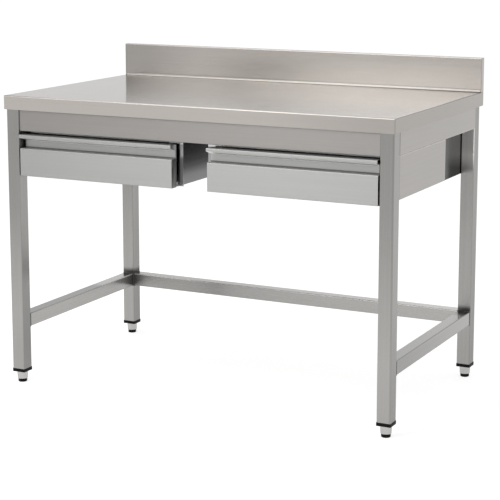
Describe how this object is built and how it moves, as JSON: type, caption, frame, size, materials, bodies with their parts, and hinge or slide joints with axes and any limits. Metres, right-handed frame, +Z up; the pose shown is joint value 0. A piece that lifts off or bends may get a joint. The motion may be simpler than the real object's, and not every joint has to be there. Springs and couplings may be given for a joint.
{
  "type": "stainless steel work table",
  "caption": "Free-standing brushed stainless work table with a rear upstand, square tube legs on adjustable feet, side and rear stretchers, and drawers with recessed pulls under the top.",
  "frame": {"origin": "on the floor under the middle of the worktop", "axes": "+X along the front to the right as seen by a person at the drawers, +Y from the front to the upstand, +Z up"},
  "size_m": [1.2, 0.7, 0.95],
  "materials": {
    "top_steel": "satin brushed stainless",
    "tube_steel": "satin brushed stainless",
    "sheet_steel": "satin brushed stainless",
    "front_steel": "satin brushed stainless",
    "tray_steel": "satin brushed stainless",
    "casing_steel": "satin brushed stainless",
    "slide_steel": "bright zinc plate",
    "foot_steel": "turned stainless",
    "fastener_steel": "plain stainless",
    "black_plastic": "moulded matt",
    "pad_plastic": "moulded matt",
    "rubber": "matt",
    "board": "plain particle board"
  },
  "bodies": {
    "table": {"apron_front": "sheet_steel", "apron_left": "sheet_steel", "apron_rear": "sheet_steel", "apron_right": "sheet_steel", "cabinet_rail_inner_left": "slide_steel", "cabinet_rail_inner_right": "slide_steel", "cabinet_rail_outer_left": "slide_steel", "cabinet_rail_outer_right": "slide_steel", "casing_back_left": "casing_steel", "casing_back_right": "casing_steel", "casing_bolts": "fastener_steel", "casing_front_rail_left": "casing_steel", "casing_front_rail_right": "casing_steel", "casing_wall_inner_left": "casing_steel", "casing_wall_inner_right": "casing_steel", "casing_wall_outer_left": "casing_steel", "casing_wall_outer_right": "casing_steel", "core_board": "board", "drawer_buffers": "rubber", "leg_front_left": "tube_steel", "leg_front_right": "tube_steel", "leg_insert_front_left": "black_plastic", "leg_insert_front_right": "black_plastic", "leg_insert_rear_left": "black_plastic", "leg_insert_rear_right": "black_plastic", "leg_rear_left": "tube_steel", "leg_rear_right": "tube_steel", "side_cover_left": "sheet_steel", "side_cover_right": "sheet_steel", "stretcher_left": "tube_steel", "stretcher_rear": "tube_steel", "stretcher_right": "tube_steel", "top_channel_front": "sheet_steel", "top_channel_rear": "sheet_steel", "upstand_caps": "top_steel", "worktop": "top_steel"},
    "drawer_left": {"drawer_bottom_left": "tray_steel", "drawer_ends_left": "tray_steel", "drawer_front_left": "front_steel", "drawer_rail_inner_left": "slide_steel", "drawer_rail_outer_left": "slide_steel", "drawer_rivets_left": "fastener_steel", "drawer_sides_left": "tray_steel"},
    "drawer_right": {"drawer_bottom_right": "tray_steel", "drawer_ends_right": "tray_steel", "drawer_front_right": "front_steel", "drawer_rail_inner_right": "slide_steel", "drawer_rail_outer_right": "slide_steel", "drawer_rivets_right": "fastener_steel", "drawer_sides_right": "tray_steel"},
    "foot_front_left": {"foot_pad_front_left": "pad_plastic", "foot_stem_front_left": "foot_steel"},
    "foot_front_right": {"foot_pad_front_right": "pad_plastic", "foot_stem_front_right": "foot_steel"},
    "foot_rear_left": {"foot_pad_rear_left": "pad_plastic", "foot_stem_rear_left": "foot_steel"},
    "foot_rear_right": {"foot_pad_rear_right": "pad_plastic", "foot_stem_rear_right": "foot_steel"},
    "middle_rails_left": {"middle_rails_left": "slide_steel"},
    "middle_rails_right": {"middle_rails_right": "slide_steel"}
  },
  "joints": [
    {"name": "drawer_left_slide", "type": "slide", "parent": "table", "child": "drawer_left", "axis": [0, -1, 0], "range_m": [0, 0.45]},
    {"name": "middle_rails_left_slide", "type": "slide", "parent": "table", "child": "middle_rails_left", "axis": [0, -1, 0], "range_m": [0, 0.225]},
    {"name": "drawer_right_slide", "type": "slide", "parent": "table", "child": "drawer_right", "axis": [0, -1, 0], "range_m": [0, 0.45]},
    {"name": "middle_rails_right_slide", "type": "slide", "parent": "table", "child": "middle_rails_right", "axis": [0, -1, 0], "range_m": [0, 0.225]},
    {"name": "foot_front_left_adjust", "type": "slide", "parent": "table", "child": "foot_front_left", "axis": [0, 0, -1], "range_m": [0, 0.02]},
    {"name": "foot_front_right_adjust", "type": "slide", "parent": "table", "child": "foot_front_right", "axis": [0, 0, -1], "range_m": [0, 0.02]},
    {"name": "foot_rear_left_adjust", "type": "slide", "parent": "table", "child": "foot_rear_left", "axis": [0, 0, -1], "range_m": [0, 0.02]},
    {"name": "foot_rear_right_adjust", "type": "slide", "parent": "table", "child": "foot_rear_right", "axis": [0, 0, -1], "range_m": [0, 0.02]}
  ],
  "couplings": [
    {"joint": "middle_rails_left_slide", "follows": "drawer_left_slide", "ratio": 0.5},
    {"joint": "middle_rails_right_slide", "follows": "drawer_right_slide", "ratio": 0.5}
  ]
}
